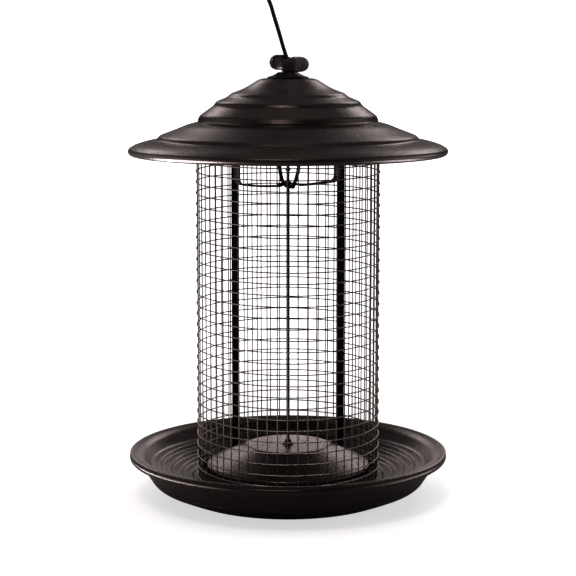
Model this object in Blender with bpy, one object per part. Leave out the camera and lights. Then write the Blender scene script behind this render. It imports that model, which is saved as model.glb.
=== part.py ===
"""Hanging seed feeder for garden birds: a wire-mesh seed cage between a stepped roof and a
ringed seed dish, held together by one tie rod and hung on a twisted wire rope.

Metres, +Z up. The origin is the centre of the flat underside of the base pan. The roof slides
up the rope when the wing nut on top of it is loosened, and seed is poured into the open cage.
"""

import math

import bmesh
import bpy
from mathutils import Matrix, Vector

# Driving dimensions
CLEARANCE = 0.0003  # between pieces that touch
SHEET = 0.0010  # thickness of the pressed steel sheet
TURNS = 28  # facets round the large turned pieces
SMALL_TURNS = 12  # facets round the fasteners

ROD_RADIUS = 0.0014
ROD_BOTTOM_Z = 0.0024
ROD_TOP_Z = 0.2750
ROD_BORE = ROD_RADIUS + CLEARANCE  # of every piece on the rod
NUT_HEIGHT = 0.0022
WASHER_THICKNESS = 0.0008
ROD_TOP_NUT_Z = 0.2652  # its underside, between the legs of the rope

RECESS_Z = 0.0086  # middle of the pan's sheet over the bottom nut
DISH_FLOOR_Z = 0.0142  # middle of the dish's sheet round the rod
DISH_RIDGE_RADII = (0.0765, 0.0850, 0.0935, 0.1020)
DISH_SLOPE = 0.36  # rise of the ringed floor for each metre outwards
DEFLECTOR_TOP_Z = 0.0415

CAGE_OUTER_RADIUS = 0.0736
CAGE_INNER_RADIUS = 0.0720
CAGE_BOTTOM_Z = 0.0155
CAGE_TOP_Z = 0.3000
CAGE_PANELS = 8  # curved panels that make up the cylinder
PANEL_WINDOWS = 2  # windows across a panel
CAGE_RINGS = 10
CAGE_BAR = 0.0024
BAND_OUTER_RADIUS = 0.0707
BAND_HEIGHT = 0.0090
BAND_THICKNESS = 0.0006

UPRIGHT_ANGLE = math.radians(38.3)  # from the back, +Y
UPRIGHT_WIDTH = 0.0076
UPRIGHT_THICKNESS = 0.0012
UPRIGHT_RADIUS = 0.0688  # to the middle of its thickness
RIVET_RADIUS = 0.0012
RIVET_SHANK = 0.0022
RIVET_HEAD = (0.0022, 0.0018, 0.0005, 0.0008)  # radius, radius and height of its shoulder, height

CROSSBAR_TURN = math.radians(27)
CROSSBAR_WIDTH = 0.0100
CROSSBAR_THICKNESS = 0.0012
CROSSBAR_Z = 0.2531  # middle of its thickness, at the centre of the bar
CROSSBAR_EAR = 0.0450  # from the axis to each ear
CROSSBAR_REACH = 0.0744
CROSSBAR_SADDLE = 0.0016  # how far the centre is pressed up over the rope

ROOF_TOP_Z = 0.3381  # middle of the sheet
STEM_RADIUS = 0.0032
STEM_BORE = 0.0019
STEM_TOP_Z = 0.3505
STEM_FLANGE_RADIUS = 0.0090
STEM_FLANGE_THICKNESS = 0.0016
HUB_TOP_Z = 0.3434

WING_INNER_RADIUS = 0.0042
WING_OUTER_RADIUS = 0.0154
WING_TOP_Z = 0.3565
WING_TURN = math.radians(12)
WING_THICKNESS = 0.0014
WING_BEND = 26.0  # metres of bend for each square metre along the wing
NUT_BODY_RADIUS = 0.0056
NUT_BODY_HEIGHT = 0.0062

ROPE_RADIUS = 0.00145
STRAND_SPACING = 0.0034  # between the two strands in a ferrule
ROPE_SPACING = 0.0034  # between the points of a rope's line

# The route of the free rope: out of the clamp, leaning over to its hook, round the end loop
# and back into the ferrule. (across, up) in the plane y = 0.
ROPE_LEAN = Vector((-0.306, 0.0, 0.952))
ROPE_ROUTE = (
    (0.0000, 0.3362), (0.0000, 0.3400), (0.0000, 0.3440), (0.0000, 0.3480),
    (-0.0003, 0.3515), (-0.0012, 0.3550), (-0.0025, 0.3590), (-0.0042, 0.3645),
    (-0.0062, 0.3715), (-0.0086, 0.3795), (-0.0114, 0.3885), (-0.0142, 0.3975),
)
FERRULE_START = Vector((-0.0186, 0.0, 0.4112))
FERRULE_LENGTH = 0.0100
# The end loop, as (along the lean, across it) from the start of the ferrule.
LOOP_ROUTE = (
    (0.0000, -0.0017), (0.0050, -0.0017), (0.0105, -0.0018), (0.0160, -0.0042),
    (0.0215, -0.0076), (0.0275, -0.0096), (0.0335, -0.0086), (0.0378, -0.0050),
    (0.0394, 0.0000), (0.0378, 0.0050), (0.0335, 0.0086), (0.0275, 0.0096),
    (0.0215, 0.0076), (0.0160, 0.0042), (0.0105, 0.0018), (0.0050, 0.0017),
    (-0.0016, 0.0017),
)

# The eye under the crossbar, as (along the bar, across it, up). It passes under the bar and
# bends round the tie rod there.
EYE_FERRULE_Z = (0.3060, 0.3160)
EYE_ROUTE = (
    (0.0000, -0.0017, 0.3057), (0.0000, -0.0026, 0.3020), (0.0000, -0.0075, 0.2945),
    (0.0000, -0.0140, 0.2855), (0.0000, -0.0182, 0.2760), (0.0000, -0.0180, 0.2675),
    (0.0000, -0.0142, 0.2600), (0.0003, -0.0099, 0.2550), (0.0014, -0.0064, 0.2527),
    (0.0030, -0.0024, 0.2522), (0.0034, 0.0000, 0.2521), (0.0030, 0.0024, 0.2522),
    (0.0014, 0.0062, 0.2527), (0.0003, 0.0090, 0.2550), (0.0000, 0.0122, 0.2600),
    (0.0000, 0.0150, 0.2675), (0.0000, 0.0154, 0.2760), (0.0000, 0.0125, 0.2855),
    (0.0000, 0.0072, 0.2945), (0.0000, 0.0026, 0.3020), (0.0000, 0.0017, 0.3057),
)


# ---------------------------------------------------------------- materials


def principled(name, color, roughness, metallic):
    material = bpy.data.materials.new(name)
    material.use_nodes = True
    shader = material.node_tree.nodes["Principled BSDF"]
    shader.inputs["Base Color"].default_value = (*color, 1.0)
    shader.inputs["Roughness"].default_value = roughness
    shader.inputs["Metallic"].default_value = metallic
    material.diffuse_color = (*color, 1.0)
    return material


def powder_coat(name):
    return principled(name + "_coat", (0.018, 0.015, 0.014), 0.42, 0.3)


def plated(name):
    return principled(name + "_plating", (0.035, 0.034, 0.034), 0.35, 0.9)


def rope_finish(name):
    return principled(name + "_strands", (0.012, 0.012, 0.013), 0.5, 0.4)


# ---------------------------------------------------------------- building blocks


def clear_scene():
    for old in list(bpy.data.objects):
        bpy.data.objects.remove(old, do_unlink=True)


def add_object(name, bm, material, sharp=35):
    """Put the bmesh in the scene as a smooth-shaded object with its own material."""
    bmesh.ops.remove_doubles(bm, verts=bm.verts, dist=1e-6)
    bmesh.ops.recalc_face_normals(bm, faces=bm.faces)
    mesh = bpy.data.meshes.new(name)
    bm.to_mesh(mesh)
    bm.free()
    mesh.shade_smooth()
    mesh.set_sharp_from_angle(angle=math.radians(sharp))
    mesh.materials.append(material(name))
    piece = bpy.data.objects.new(name, mesh)
    bpy.context.scene.collection.objects.link(piece)
    return piece


def cut(piece, cutter):
    """Cut a helper object out of a piece."""
    cutter.hide_render = True
    cutter.display_type = "WIRE"
    boolean = piece.modifiers.new("hole", "BOOLEAN")
    boolean.operation = "DIFFERENCE"
    boolean.object = cutter


def rounded(corners, steps=2):
    """The points of an open line. A corner given as (r, z, fillet) is turned on a curve."""
    points = [Vector(corners[0][:2])]
    for before, corner, after in zip(corners, corners[1:], corners[2:]):
        middle = Vector(corner[:2])
        if len(corner) == 2:
            points.append(middle)
            continue
        back = (Vector(before[:2]) - middle).normalized() * corner[2]
        ahead = (Vector(after[:2]) - middle).normalized() * corner[2]
        for k in range(steps + 1):
            t = k / steps
            points.append(middle + back * (1 - t) ** 2 + ahead * t**2)
    points.append(Vector(corners[-1][:2]))
    return points


def side_of(points, distance):
    """The line that runs beside points, distance to the left of their direction."""
    beside = []
    for k, point in enumerate(points):
        before = points[max(k - 1, 0)]
        after = points[min(k + 1, len(points) - 1)]
        incoming = (point - before).normalized() if k else (after - point).normalized()
        outgoing = (after - point).normalized() if k < len(points) - 1 else incoming
        along = (incoming + outgoing).normalized()
        stretch = 1 / max(along.dot(outgoing), 0.5)
        beside.append(point + Vector((-along.y, along.x)) * distance * stretch)
    return beside


def bead(points, radius, steps=7):
    """A round bead at the end of a line, from its left side to its right side."""
    along = (points[-1] - points[-2]).normalized()
    left = Vector((-along.y, along.x))
    centre = points[-1] + along * radius * 0.9
    opening = math.radians(152)
    turns = [opening * (1 - 2 * k / steps) for k in range(steps + 1)]
    return [centre + (along * math.cos(a) + left * math.sin(a)) * radius for a in turns]


def sheet_outline(points, thickness=SHEET, bead_radius=None):
    """The closed outline of a sheet whose middle follows points, with a bead on its last edge."""
    left, right = side_of(points, thickness / 2), side_of(points, -thickness / 2)
    if bead_radius is None:
        return left + right[::-1]
    return left[:-1] + bead(points, bead_radius) + right[-2::-1]


def turned(name, outline, material, turns=TURNS, centre=(0.0, 0.0)):
    """A piece turned round the vertical through centre, from the closed outline of (r, z)."""
    bm = bmesh.new()
    ring = [bm.verts.new((point[0], 0.0, point[1])) for point in outline]
    edges = [bm.edges.new((a, b)) for a, b in zip(ring, ring[1:] + ring[:1])]
    bmesh.ops.spin(
        bm, geom=ring + edges, cent=(0, 0, 0), axis=(0, 0, 1),
        angle=math.tau, steps=turns, use_merge=True,
    )
    bmesh.ops.translate(bm, verts=bm.verts, vec=(*centre, 0.0))
    return add_object(name, bm, material)


def collar_outline(inner, outer, low, high, chamfer=0.0):
    """The outline of a plain ring, with its outer corners cut off."""
    return [
        Vector((inner, low)),
        Vector((outer - chamfer, low)),
        *([Vector((outer, low + chamfer))] if chamfer else []),
        *([Vector((outer, high - chamfer))] if chamfer else []),
        Vector((outer - chamfer, high)),
        Vector((inner, high)),
    ]


def cylinder(name, radius, start, end, material, turns=SMALL_TURNS):
    """A plain rod from start to end."""
    start, end = Vector(start), Vector(end)
    bm = bmesh.new()
    bmesh.ops.create_cone(
        bm, cap_ends=True, segments=turns, radius1=radius, radius2=radius,
        depth=(end - start).length,
    )
    place = Matrix.Translation((start + end) / 2)
    place @= (end - start).to_track_quat("Z", "Y").to_matrix().to_4x4()
    bmesh.ops.transform(bm, matrix=place, verts=bm.verts)
    return add_object(name, bm, material)


def hex_nut(name, across_flats, bore, low, high, material):
    """A six-sided nut on the axis, with a round bore."""
    bm = bmesh.new()
    outer, inner = across_flats / math.sqrt(3), bore
    rings = []
    for z in (low, high):
        for radius in (outer, inner):
            rings.append([
                bm.verts.new((
                    radius * math.cos(math.tau * k / 12) * (hex_reach(k) if radius == outer else 1),
                    radius * math.sin(math.tau * k / 12) * (hex_reach(k) if radius == outer else 1),
                    z,
                ))
                for k in range(12)
            ])
    low_out, low_in, high_out, high_in = rings
    for a, b in ((low_out, high_out), (high_out, high_in), (high_in, low_in), (low_in, low_out)):
        for k in range(12):
            n = (k + 1) % 12
            bm.faces.new((a[k], a[n], b[n], b[k]))
    return add_object(name, bm, material, sharp=20)


def hex_reach(k):
    """The radius of a hexagon at every twelfth of a turn, as a share of its corner radius."""
    return 1.0 if k % 2 == 0 else math.cos(math.pi / 6)


def smooth_line(route, spacing=ROPE_SPACING, fine=24):
    """Evenly spaced points along a smooth curve through the route's points."""
    route = [Vector(p) for p in route]
    ends = [2 * route[0] - route[1], *route, 2 * route[-1] - route[-2]]
    dense = []
    for a, b, c, d in zip(ends, ends[1:], ends[2:], ends[3:]):
        for k in range(fine):
            t = k / fine
            dense.append(0.5 * (
                2 * b + (c - a) * t + (2 * a - 5 * b + 4 * c - d) * t**2
                + (3 * b - a - 3 * c + d) * t**3
            ))
    dense.append(route[-1])
    reach = [0.0]
    for p, q in zip(dense, dense[1:]):
        reach.append(reach[-1] + (q - p).length)
    count = round(reach[-1] / spacing)
    points, at = [], 0
    for k in range(count + 1):
        wanted = reach[-1] * k / count
        while at < len(dense) - 2 and reach[at + 1] < wanted:
            at += 1
        share = (wanted - reach[at]) / (reach[at + 1] - reach[at])
        points.append(dense[at].lerp(dense[at + 1], min(share, 1.0)))
    return points


def rope(name, points, radius=ROPE_RADIUS):
    """A rope as a curve object: a tube along the points, with filled ends."""
    curve = bpy.data.curves.new(name, "CURVE")
    curve.dimensions = "3D"
    curve.bevel_depth = radius
    curve.bevel_resolution = 2
    curve.use_fill_caps = True
    spline = curve.splines.new("POLY")
    spline.points.add(len(points) - 1)
    for knot, point in zip(spline.points, points):
        knot.co = (*point, 1.0)
    curve.materials.append(rope_finish(name))
    piece = bpy.data.objects.new(name, curve)
    bpy.context.scene.collection.objects.link(piece)
    return piece


def across_bar(along, across, up):
    """A point given along and across the turned crossbar, in world axes."""
    c, s = math.cos(CROSSBAR_TURN), math.sin(CROSSBAR_TURN)
    return Vector((along * c - across * s, along * s + across * c, up))


# ---------------------------------------------------------------- tray


def make_base_pan():
    """The outer bowl that the feeder stands on, with a recess over the rod's bottom nut."""
    middle = rounded((
        (0.0022, RECESS_Z), (0.0140, RECESS_Z), (0.0190, 0.0005), (0.0800, 0.0005, 0.006),
        (0.0975, 0.0070), (0.1085, 0.0122, 0.005), (0.1148, 0.0250), (0.1165, 0.0318, 0.002),
        (0.1240, 0.0318),
    ), steps=1)
    return turned("base_pan", sheet_outline(middle, bead_radius=0.0022), powder_coat)


def dish_floor(ridge):
    """The (r, z) points of one pressed ridge of the seed dish: up its riser, along its tread."""
    rise = DISH_FLOOR_Z + (ridge - DISH_RIDGE_RADII[0]) * DISH_SLOPE
    return [Vector((ridge, rise)), Vector((ridge + 0.0026, rise + 0.0026))]


def make_seed_dish():
    """The ringed dish that the birds eat from. Its rim curls over the base pan's bead."""
    floor = [Vector((0.0022, DISH_FLOOR_Z))]
    for ridge in DISH_RIDGE_RADII:
        floor += dish_floor(ridge)
    wall = rounded((
        (0.1100, 0.0276), (0.1182, 0.0365), (0.1235, 0.0378), (0.1283, 0.0372, 0.003),
        (0.1283, 0.0346),
    ), steps=1)
    return turned("seed_dish", sheet_outline(floor + wall), powder_coat)


def make_deflector():
    """The cone over the dish that sheds seed outwards to the mesh, with a short skirt."""
    middle = rounded((
        (0.0022, DEFLECTOR_TOP_Z), (0.0331, DEFLECTOR_TOP_Z, 0.002), (0.0660, 0.0268, 0.002),
        (0.0662, 0.0156),
    ), steps=1)
    return turned("seed_deflector", sheet_outline(middle), powder_coat)


# ---------------------------------------------------------------- tie rod and its fasteners


def on_rod(name, outer, low, high, chamfer=0.0):
    """A round washer, spacer or collar on the rod."""
    turned(name, collar_outline(ROD_BORE, outer, low, high, chamfer), plated, SMALL_TURNS)


def make_rod():
    """The rod, and what holds the pan, the dish, the deflector and the crossbar on it."""
    cylinder("tie_rod", ROD_RADIUS, (0, 0, ROD_BOTTOM_Z), (0, 0, ROD_TOP_Z), powder_coat)
    half = SHEET / 2 + CLEARANCE

    washer_top = RECESS_Z - half
    on_rod("bottom_washer", 0.0050, washer_top - WASHER_THICKNESS, washer_top)
    nut_top = washer_top - WASHER_THICKNESS - CLEARANCE
    hex_nut("bottom_nut", 0.0055, ROD_BORE, nut_top - NUT_HEIGHT, nut_top, plated)

    on_rod("dish_spacer", 0.0040, RECESS_Z + half, DISH_FLOOR_Z - half)
    on_rod("deflector_spacer", 0.0030, DISH_FLOOR_Z + half, DEFLECTOR_TOP_Z - half)
    washer_low = DEFLECTOR_TOP_Z + half
    on_rod("deflector_washer", 0.0046, washer_low, washer_low + WASHER_THICKNESS)
    nut_low = washer_low + WASHER_THICKNESS + CLEARANCE
    hex_nut("deflector_nut", 0.0050, ROD_BORE, nut_low, nut_low + NUT_HEIGHT, plated)

    collar_low = CROSSBAR_Z + CROSSBAR_SADDLE + CROSSBAR_THICKNESS / 2 + CLEARANCE
    on_rod("crossbar_collar", 0.0024, collar_low, collar_low + 0.0020, 0.0003)
    hex_nut("rod_top_nut", 0.0042, ROD_BORE, ROD_TOP_NUT_Z, ROD_TOP_NUT_Z + NUT_HEIGHT, plated)


# ---------------------------------------------------------------- cage


def panel_angles(panel):
    """The angles of a panel's bar edges: half a bar at each side, whole bars between."""
    start, span = math.tau * panel / CAGE_PANELS, math.tau / CAGE_PANELS
    half, gap = CAGE_BAR / 2 / CAGE_OUTER_RADIUS, CLEARANCE / 2 / CAGE_OUTER_RADIUS
    inside = [
        start + span * k / PANEL_WINDOWS + side * half
        for k in range(1, PANEL_WINDOWS) for side in (-1, 1)
    ]
    return [start + gap, start + half, *inside, start + span - half, start + span - gap]


def ring_heights():
    """The heights of the rings' lower and upper edges."""
    step = (CAGE_TOP_Z - CAGE_BOTTOM_Z - CAGE_BAR) / (CAGE_RINGS - 1)
    return [
        CAGE_BOTTOM_Z + k * step + side * CAGE_BAR
        for k in range(CAGE_RINGS) for side in (0, 1)
    ]


def cage_panel(panel):
    """One curved panel of the mesh: a grid shell of upright bars and rings with open windows."""
    bm = bmesh.new()
    turns, heights = panel_angles(panel), ring_heights()
    skins = [
        [[bm.verts.new((r * math.cos(a), r * math.sin(a), z)) for a in turns] for z in heights]
        for r in (CAGE_INNER_RADIUS, CAGE_OUTER_RADIUS)
    ]
    inner, outer = skins
    bars = set()
    for j in range(len(heights) - 1):
        for i in range(len(turns) - 1):
            if not (i % 2 and j % 2):
                bars.add((j, i))
    for j, i in sorted(bars):
        corners = ((j, i), (j, i + 1), (j + 1, i + 1), (j + 1, i))
        for skin in skins:
            bm.faces.new([skin[y][x] for y, x in corners])
        beside = ((j - 1, i), (j, i + 1), (j + 1, i), (j, i - 1))
        for (aj, ai), (bj, bi), neighbour in zip(corners, corners[1:] + corners[:1], beside):
            if neighbour not in bars:
                bm.faces.new((inner[aj][ai], inner[bj][bi], outer[bj][bi], outer[aj][ai]))
    return add_object(f"cage_mesh_{panel + 1}", bm, powder_coat)


def make_cage():
    """The mesh cylinder: one rolled sheet on the real feeder, and a ring of panels here."""
    for panel in range(CAGE_PANELS):
        cage_panel(panel)


def radial(angle, radius, z):
    """A point at an angle from +Y, turning towards +X."""
    return Vector((radius * math.sin(angle), radius * math.cos(angle), z))


def rivet(name, angle, z):
    """A rivet with a low round head, whose shank points outwards."""
    head_radius, shoulder_radius, shoulder, head = RIVET_HEAD
    outline = [
        Vector((0.0, -RIVET_SHANK)), Vector((RIVET_RADIUS, -RIVET_SHANK)),
        Vector((RIVET_RADIUS, 0.0)), Vector((head_radius, 0.0)),
        Vector((shoulder_radius, shoulder)), Vector((0.0, head)),
    ]
    bm = bmesh.new()
    line = [bm.verts.new((p[0], 0.0, p[1])) for p in outline]
    edges = [bm.edges.new((a, b)) for a, b in zip(line, line[1:])]
    bmesh.ops.spin(
        bm, geom=line + edges, cent=(0, 0, 0), axis=(0, 0, 1),
        angle=math.tau, steps=SMALL_TURNS, use_merge=True,
    )
    inwards = -radial(angle, 1.0, 0.0)
    under_head = radial(
        angle, UPRIGHT_RADIUS - UPRIGHT_THICKNESS / 2 - CLEARANCE, z
    )
    place = Matrix.Translation(under_head) @ inwards.to_track_quat("Z", "Y").to_matrix().to_4x4()
    bmesh.ops.transform(bm, matrix=place, verts=bm.verts)
    return add_object(name, bm, plated)


def rivet_hole(name, angle, z):
    """A cutter through the upright and the band behind it."""
    return cylinder(
        name, RIVET_RADIUS + CLEARANCE, radial(angle, UPRIGHT_RADIUS - 0.003, z),
        radial(angle, BAND_OUTER_RADIUS + 0.002, z), powder_coat,
    )


def make_bands_and_uprights():
    """A band inside each end of the mesh, and two flat uprights riveted to both bands."""
    low = (CAGE_BOTTOM_Z, CAGE_BOTTOM_Z + BAND_HEIGHT)
    high = (CAGE_TOP_Z - BAND_HEIGHT, CAGE_TOP_Z)
    sides = {"left": -UPRIGHT_ANGLE, "right": UPRIGHT_ANGLE}
    bands = {
        level: turned(
            level + "_band",
            collar_outline(BAND_OUTER_RADIUS - BAND_THICKNESS, BAND_OUTER_RADIUS, *span),
            powder_coat,
        )
        for level, span in (("bottom", low), ("top", high))
    }
    for side, angle in sides.items():
        upright = flat_bar("upright_" + side, angle)
        for level, span in (("bottom", low), ("top", high)):
            z = sum(span) / 2
            hole = rivet_hole(f"hole_{level}_{side}", angle, z)
            cut(upright, hole)
            cut(bands[level], hole)
            rivet(f"rivet_{level}_{side}", angle, z)


def flat_bar(name, angle):
    """A flat upright, tangent to the cage at the angle from +Y."""
    bm = bmesh.new()
    bmesh.ops.create_cube(bm, size=1.0)
    size = (UPRIGHT_WIDTH, UPRIGHT_THICKNESS, CAGE_TOP_Z - CAGE_BOTTOM_Z - 2 * CLEARANCE)
    bmesh.ops.scale(bm, vec=size, verts=bm.verts)
    place = Matrix.Translation(radial(angle, UPRIGHT_RADIUS, (CAGE_TOP_Z + CAGE_BOTTOM_Z) / 2))
    place @= Matrix.Rotation(-angle, 4, "Z")
    bmesh.ops.transform(bm, matrix=place, verts=bm.verts)
    return add_object(name, bm, powder_coat)


# ---------------------------------------------------------------- crossbar and rope eye


def crossbar_line():
    """The middle of the strap as (along, up), from one end to the other."""
    z, ear, flange = CROSSBAR_Z, CROSSBAR_EAR, CAGE_TOP_Z + CLEARANCE + CROSSBAR_THICKNESS / 2
    right = rounded((
        (0.0, z + CROSSBAR_SADDLE), (0.0055, z + CROSSBAR_SADDLE, 0.0015),
        (0.0085, z + 0.0001, 0.0015), (0.0250, z + 0.0006, 0.004),
        (ear, z + 0.0026, 0.006), (ear, flange, 0.005), (CROSSBAR_REACH, flange),
    ))
    return [Vector((-p.x, p.y)) for p in right[:0:-1]] + right


def make_crossbar():
    """The pressed hat-shaped strap that stands on the cage and hangs in the rope's eye."""
    outline = sheet_outline(crossbar_line(), CROSSBAR_THICKNESS)
    bm = bmesh.new()
    face = bm.faces.new([
        bm.verts.new(across_bar(p.x, -CROSSBAR_WIDTH / 2, p.y)) for p in outline
    ])
    new = bmesh.ops.extrude_face_region(bm, geom=[face])["geom"]
    shift = across_bar(0, CROSSBAR_WIDTH, 0)
    bmesh.ops.translate(bm, vec=shift, verts=[v for v in new if isinstance(v, bmesh.types.BMVert)])
    bar = add_object("crossbar", bm, powder_coat)
    hole = cylinder(
        "hole_crossbar", ROD_RADIUS + CLEARANCE, (0, 0, CROSSBAR_Z - 0.006),
        (0, 0, CROSSBAR_Z + 0.008), powder_coat,
    )
    cut(bar, hole)
    return bar


def ferrule(name, start, direction, length, side, hollow):
    """An oval crimp sleeve round two strands that lie beside each other along side."""
    start, direction, side = Vector(start), Vector(direction).normalized(), Vector(side).normalized()
    depth = direction.cross(side)
    bore = ROPE_RADIUS + CLEARANCE
    bm = bmesh.new()
    loops = []
    for radius in (bore + 0.0011, bore) if hollow else (bore + 0.0009,):
        for reach in (0.0, length):
            loops.append([
                bm.verts.new(start + direction * reach + side * u + depth * v)
                for u, v in oval(radius)
            ])
    pairs = [(0, 1), (1, 3), (3, 2), (2, 0)] if hollow else [(0, 1)]
    for a, b in pairs:
        for k in range(len(loops[a])):
            n = (k + 1) % len(loops[a])
            bm.faces.new((loops[a][k], loops[a][n], loops[b][n], loops[b][k]))
    if not hollow:
        bm.faces.new(loops[0])
        bm.faces.new(loops[1])
    return add_object(name, bm, plated)


def oval(radius, steps=6):
    """An oval round two strands, as (along the pair, across it)."""
    ends = []
    for middle, start in ((STRAND_SPACING / 2, -90), (-STRAND_SPACING / 2, 90)):
        for k in range(steps + 1):
            a = math.radians(start + 180 * k / steps)
            ends.append((middle + radius * math.cos(a), radius * math.sin(a)))
    return ends


def make_rope_eye():
    rope("rope_eye", smooth_line([across_bar(*p) for p in EYE_ROUTE]))
    low, high = EYE_FERRULE_Z
    ferrule("eye_ferrule", (0, 0, low), (0, 0, 1), high - low, across_bar(0, 1, 0), hollow=False)
    start, end = high + CLEARANCE, ROPE_ROUTE[0][1] - 0.0010
    rope("inner_rope", smooth_line([(0, 0, start), (0, 0, (start + end) / 2), (0, 0, end)]))


# ---------------------------------------------------------------- roof and clamp


def make_roof():
    """The stepped roof: three rounded steps out to a brim with a rolled rim."""
    middle = rounded((
        (STEM_RADIUS + CLEARANCE + 0.0002, ROOF_TOP_Z), (0.0213, ROOF_TOP_Z, 0.002),
        (0.0340, 0.3302), (0.0445, 0.3266), (0.0482, 0.3237), (0.0575, 0.3195),
        (0.0593, 0.3164), (0.0706, 0.3082, 0.002), (0.0712, 0.3030, 0.0012), (0.0815, 0.3011),
        (0.1026, 0.2926), (0.1048, 0.2899), (0.1185, 0.2868), (0.1222, 0.2833),
    ), steps=1)
    return turned("roof", sheet_outline(middle, bead_radius=0.0032), powder_coat)


def make_clamp():
    """The hollow stem through the roof, and the cone that screws down on it."""
    under = ROOF_TOP_Z - SHEET / 2 - CLEARANCE
    low = under - STEM_FLANGE_THICKNESS
    stem = [
        Vector((STEM_BORE, low)), Vector((STEM_FLANGE_RADIUS, low)),
        Vector((STEM_FLANGE_RADIUS, under)), Vector((STEM_RADIUS, under)),
        Vector((STEM_RADIUS, STEM_TOP_Z)), Vector((STEM_BORE, STEM_TOP_Z)),
    ]
    turned("clamp_stem", stem, plated, SMALL_TURNS)
    seat = ROOF_TOP_Z + SHEET / 2 + CLEARANCE
    bore = STEM_RADIUS + CLEARANCE
    cone = [
        Vector((bore, seat)), Vector((0.0166, seat)), Vector((0.0164, seat + 0.0005)),
        Vector((0.0120, seat + 0.0018)), Vector((0.0088, HUB_TOP_Z - 0.0010)),
        Vector((0.0080, HUB_TOP_Z)), Vector((bore, HUB_TOP_Z)),
    ]
    turned("clamp_cone", cone, powder_coat, 20)


def wing_outline():
    """One wing seen from the side, as (outwards, up): a rounded lobe on a narrower root."""
    low = HUB_TOP_Z + 0.0010
    return [
        (0.0047, low), (0.0105, low - 0.0004), (0.0140, low + 0.0014),
        (WING_OUTER_RADIUS, low + 0.0052), (0.0146, low + 0.0092), (0.0120, WING_TOP_Z - 0.0006),
        (0.0088, WING_TOP_Z), (0.0060, WING_TOP_Z - 0.0020), (WING_INNER_RADIUS, low + 0.0080),
        (0.0043, low + 0.0040),
    ]


def wing(name, turn):
    """A wing as a thick plate standing on the axis, turned about it, and bent a little."""
    bm = bmesh.new()
    sides = []
    for offset in (-WING_THICKNESS / 2, WING_THICKNESS / 2):
        sides.append([
            bm.verts.new((r, offset + WING_BEND * (r - WING_INNER_RADIUS) ** 2, z))
            for r, z in wing_outline()
        ])
    for k in range(len(sides[0])):
        n = (k + 1) % len(sides[0])
        bm.faces.new((sides[0][k], sides[0][n], sides[1][n], sides[1][k]))
    bm.faces.new(sides[0])
    bm.faces.new(sides[1])
    bmesh.ops.rotate(bm, cent=(0, 0, 0), matrix=Matrix.Rotation(turn, 3, "Z"), verts=bm.verts)
    return add_object(name, bm, plated)


def make_wing_nut():
    """A round threaded body with two wings joined on."""
    bore = STEM_RADIUS + CLEARANCE
    low = HUB_TOP_Z + CLEARANCE
    body = turned(
        "wing_nut",
        collar_outline(bore, NUT_BODY_RADIUS, low, low + NUT_BODY_HEIGHT, 0.0005),
        plated, SMALL_TURNS,
    )
    for name, turn in (("wing_a", WING_TURN), ("wing_b", WING_TURN + math.pi)):
        helper = wing(name, turn)
        helper.hide_render = True
        helper.display_type = "WIRE"
        union = body.modifiers.new(name, "BOOLEAN")
        union.operation = "UNION"
        union.object = helper
    return body


# ---------------------------------------------------------------- hanging rope


def loop_point(along, across):
    """A point of the end loop, in world axes."""
    side = Vector((ROPE_LEAN.z, 0.0, -ROPE_LEAN.x))
    return FERRULE_START + ROPE_LEAN * along + side * across


def make_hanging_rope():
    """The free rope in the clamp's bore, up to its crimped end loop."""
    route = [Vector((x, 0.0, z)) for x, z in ROPE_ROUTE]
    route += [loop_point(*p) for p in LOOP_ROUTE]
    rope("hanging_rope", smooth_line(route))
    side = Vector((ROPE_LEAN.z, 0.0, -ROPE_LEAN.x))
    ferrule("end_ferrule", FERRULE_START, ROPE_LEAN, FERRULE_LENGTH, side, hollow=True)


def main():
    clear_scene()
    make_base_pan()
    make_seed_dish()
    make_deflector()
    make_rod()
    make_cage()
    make_bands_and_uprights()
    make_crossbar()
    make_rope_eye()
    make_roof()
    make_clamp()
    make_wing_nut()
    make_hanging_rope()


main()
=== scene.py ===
"""Looks of the hanging mesh bird feeder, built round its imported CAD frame.

Metres, +Z up, in the frame's own axes. Every pressed sheet, wire, rope and fastener is rebuilt
here in fine geometry, at the place and size that its CAD node gives it.
"""

import math

import bmesh
import bpy
from mathutils import Matrix, Vector, noise


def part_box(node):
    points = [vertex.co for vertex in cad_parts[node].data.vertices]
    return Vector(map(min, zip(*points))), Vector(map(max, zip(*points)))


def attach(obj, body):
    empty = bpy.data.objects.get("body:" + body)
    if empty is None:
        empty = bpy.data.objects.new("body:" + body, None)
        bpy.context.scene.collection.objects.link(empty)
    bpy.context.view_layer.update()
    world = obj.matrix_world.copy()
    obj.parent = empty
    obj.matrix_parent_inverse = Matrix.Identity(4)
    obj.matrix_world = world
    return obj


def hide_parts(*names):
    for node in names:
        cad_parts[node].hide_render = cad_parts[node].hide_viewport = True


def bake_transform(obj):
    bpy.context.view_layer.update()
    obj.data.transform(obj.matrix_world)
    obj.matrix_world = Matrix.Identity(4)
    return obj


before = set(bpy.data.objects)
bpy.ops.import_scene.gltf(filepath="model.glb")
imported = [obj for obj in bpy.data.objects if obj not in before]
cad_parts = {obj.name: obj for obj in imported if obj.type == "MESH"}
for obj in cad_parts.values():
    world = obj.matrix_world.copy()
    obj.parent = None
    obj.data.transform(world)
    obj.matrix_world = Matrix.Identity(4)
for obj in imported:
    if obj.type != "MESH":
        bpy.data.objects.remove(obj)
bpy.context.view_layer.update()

FEEDER, ROOF_BODY, NUT_BODY = "feeder", "roof_assembly", "wing_nut"


def node_box(name):
    """(lowest, highest) corner of a CAD node."""
    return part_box(name)


# ---------------------------------------------------------------- driving sizes

SHEET = 0.0009  # pressed sheet
AROUND = 180  # facets round the large turned pieces
TUBE_SIDES = 8  # facets round a wire or a strand

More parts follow.
